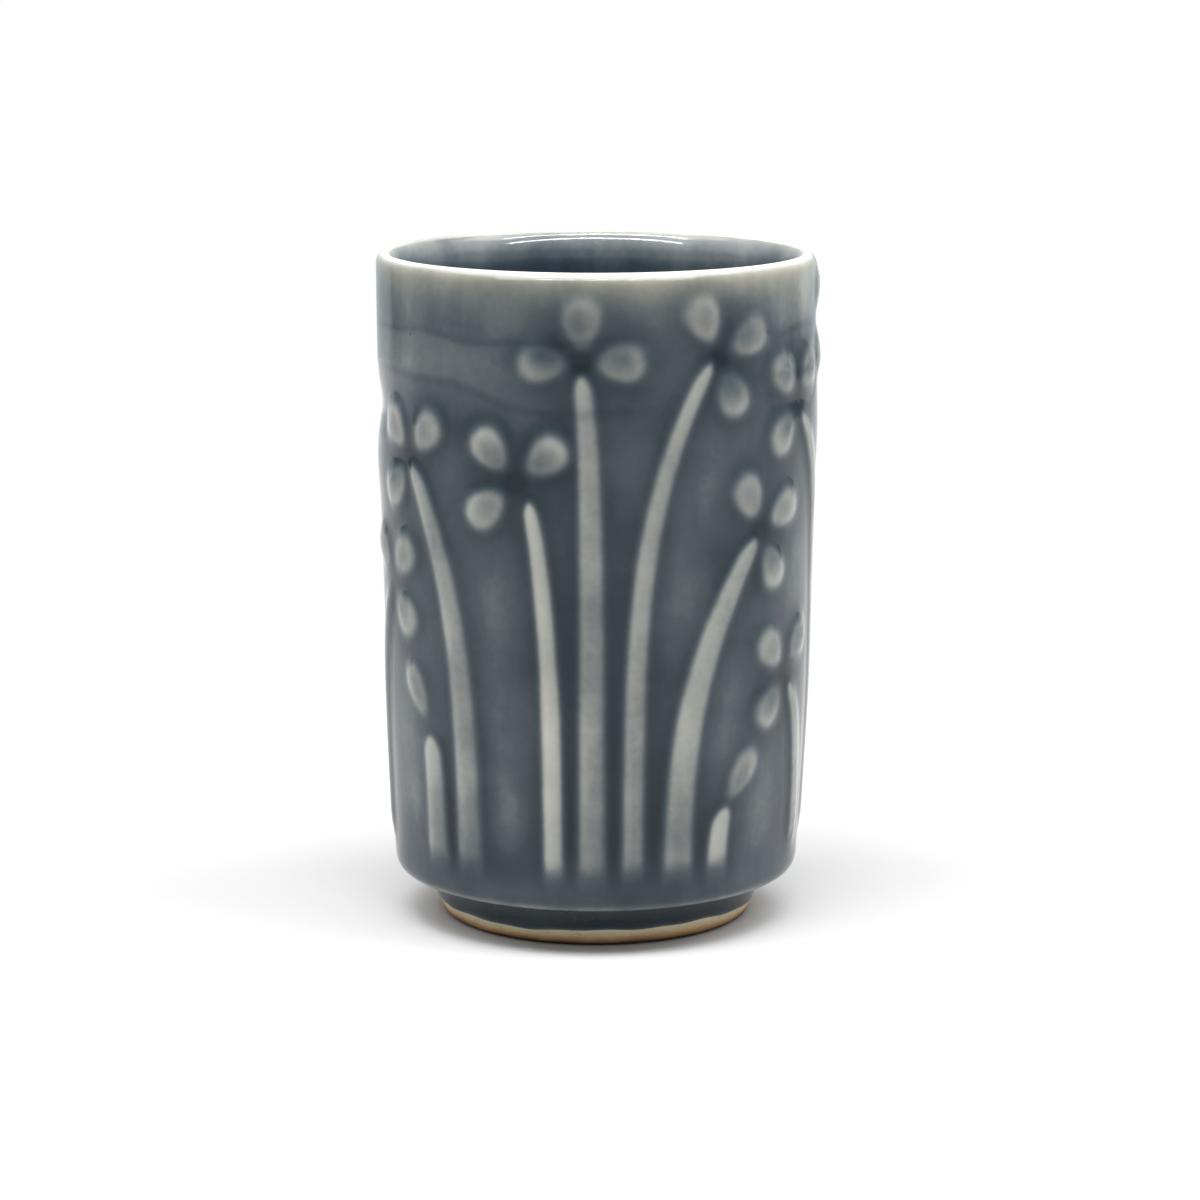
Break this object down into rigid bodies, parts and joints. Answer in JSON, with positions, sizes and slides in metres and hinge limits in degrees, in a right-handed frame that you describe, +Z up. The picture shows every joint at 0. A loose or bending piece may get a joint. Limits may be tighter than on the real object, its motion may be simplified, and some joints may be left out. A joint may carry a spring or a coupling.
{
  "type": "whiskey cup",
  "caption": "Handle-less porcelain whiskey cup, a slightly flared cylinder on an inset foot ring, with long-stemmed flowers in relief under a translucent blue-grey glaze.",
  "frame": {"origin": "centre of the plane that the foot ring rests on", "axes": "+Z up along the cup's axis, towards the lip; -Y towards the side that the picture shows"},
  "size_m": [0.0627, 0.0636, 0.095],
  "materials": {
    "glaze": "translucent blue-grey gloss glaze",
    "relief_glaze": "the same gloss glaze, thin and pale over raised clay",
    "bare_clay": "bare fired clay, matt, toasted at the glaze line"
  },
  "bodies": {
    "root": {"cup_body": "glaze", "foot_ring": "bare_clay", "flower_1_stem": "relief_glaze", "flower_1_right_petal": "relief_glaze", "flower_1_top_petal": "relief_glaze", "flower_1_left_petal": "relief_glaze", "flower_2_stem": "relief_glaze", "flower_2_right_petal": "relief_glaze", "flower_2_top_petal": "relief_glaze", "flower_2_left_petal": "relief_glaze", "flower_3_stem": "relief_glaze", "flower_3_right_petal": "relief_glaze", "flower_3_top_petal": "relief_glaze", "flower_3_left_petal": "relief_glaze", "flower_4_stem": "relief_glaze", "flower_4_right_petal": "relief_glaze", "flower_4_top_petal": "relief_glaze", "flower_4_left_petal": "relief_glaze", "flower_5_stem": "relief_glaze", "flower_5_right_petal": "relief_glaze", "flower_5_top_petal": "relief_glaze", "flower_5_left_petal": "relief_glaze", "flower_6_stem": "relief_glaze", "flower_6_right_petal": "relief_glaze", "flower_6_top_petal": "relief_glaze", "flower_6_left_petal": "relief_glaze", "flower_7_stem": "relief_glaze", "flower_7_right_petal": "relief_glaze", "flower_7_top_petal": "relief_glaze", "flower_7_left_petal": "relief_glaze", "flower_8_stem": "relief_glaze", "flower_8_right_petal": "relief_glaze", "flower_8_top_petal": "relief_glaze", "flower_8_left_petal": "relief_glaze", "flower_9_stem": "relief_glaze", "flower_9_right_petal": "relief_glaze", "flower_9_top_petal": "relief_glaze", "flower_9_left_petal": "relief_glaze", "flower_10_stem": "relief_glaze", "flower_10_right_petal": "relief_glaze", "flower_10_top_petal": "relief_glaze", "flower_10_left_petal": "relief_glaze", "flower_11_stem": "relief_glaze", "flower_11_right_petal": "relief_glaze", "flower_11_top_petal": "relief_glaze", "flower_11_left_petal": "relief_glaze", "flower_12_stem": "relief_glaze", "flower_12_right_petal": "relief_glaze", "flower_12_top_petal": "relief_glaze", "flower_12_left_petal": "relief_glaze", "flower_13_stem": "relief_glaze", "flower_13_right_petal": "relief_glaze", "flower_13_top_petal": "relief_glaze", "flower_13_left_petal": "relief_glaze", "bud_1_stem": "relief_glaze", "bud_1_petal": "relief_glaze", "bud_2_stem": "relief_glaze", "bud_2_petal": "relief_glaze", "bud_3_stem": "relief_glaze", "bud_3_petal": "relief_glaze"}
  },
  "joints": []
}
